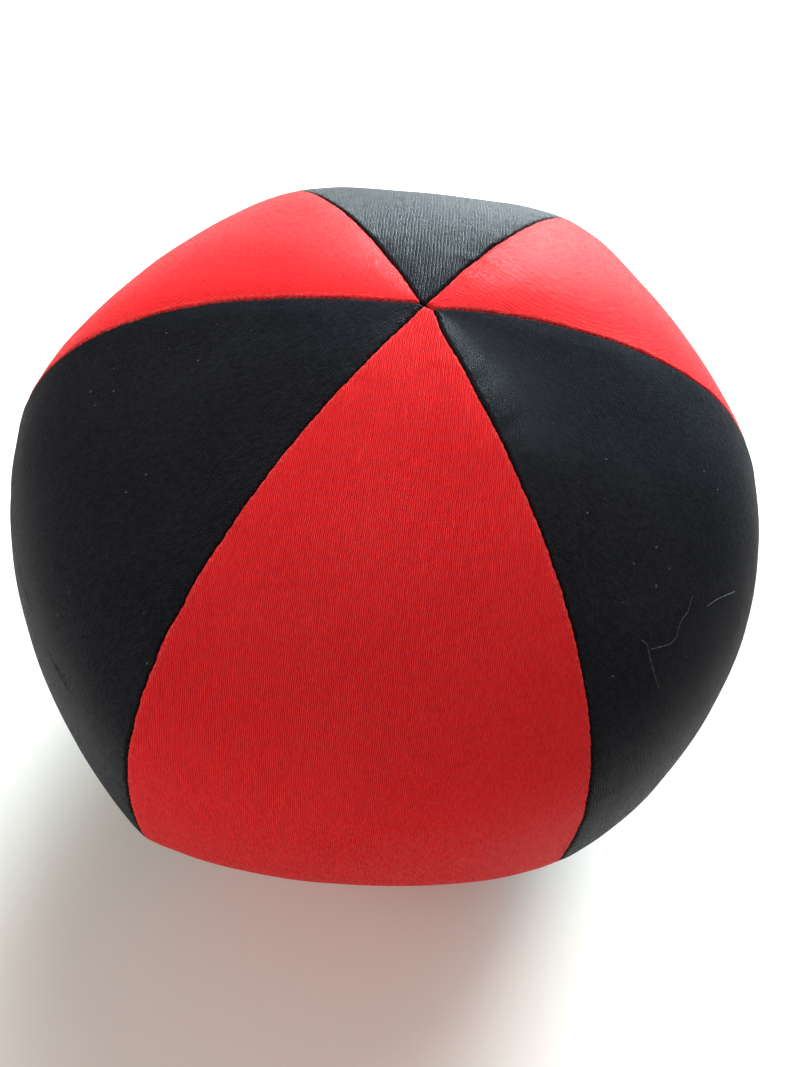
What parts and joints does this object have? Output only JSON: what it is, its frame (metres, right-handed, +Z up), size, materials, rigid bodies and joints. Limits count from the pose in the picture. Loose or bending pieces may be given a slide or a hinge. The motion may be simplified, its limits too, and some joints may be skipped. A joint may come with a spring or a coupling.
{
  "type": "juggling ball",
  "caption": "Bean-filled juggling ball of alternating red and black padded jersey gores meeting at two poles, sagged onto a flat base.",
  "frame": {"origin": "centre of the flat rest face under the ball, on the pole axis", "axes": "+Z up through the poles, away from the rest face; +X along the seam between the right black gore and the rear right red gore; the front red gore faces -Y"},
  "size_m": [0.0756, 0.0722, 0.055],
  "materials": {
    "jersey_red": "matte knit jersey with a soft sheen",
    "jersey_black": "matte knit jersey with lint",
    "thread_black": "spun polyester sewing thread",
    "thread_red": "spun polyester sewing thread",
    "grain_filling": "dry loose grain"
  },
  "bodies": {
    "skin": {"panel_red_front": "jersey_red", "panel_red_rear_right": "jersey_red", "panel_red_rear_left": "jersey_red", "panel_black_left": "jersey_black", "panel_black_right": "jersey_black", "panel_black_rear": "jersey_black", "seam_right_needle_thread": "thread_black", "seam_right_bobbin_thread": "thread_black", "seam_rear_needle_thread": "thread_black", "seam_rear_bobbin_thread": "thread_black", "seam_left_needle_thread": "thread_black", "seam_left_bobbin_thread": "thread_black", "seam_front_needle_thread": "thread_black", "seam_front_bobbin_thread": "thread_black", "joining_seam_needle_thread": "thread_black", "joining_seam_bobbin_thread": "thread_black", "closing_stitch_thread": "thread_red"},
    "grain": {"filling": "grain_filling"}
  },
  "joints": [
    {"name": "fill_shift", "type": "slide", "parent": "skin", "child": "grain", "axis": [0, 0, 1], "range_m": [0, 0.0025]}
  ]
}
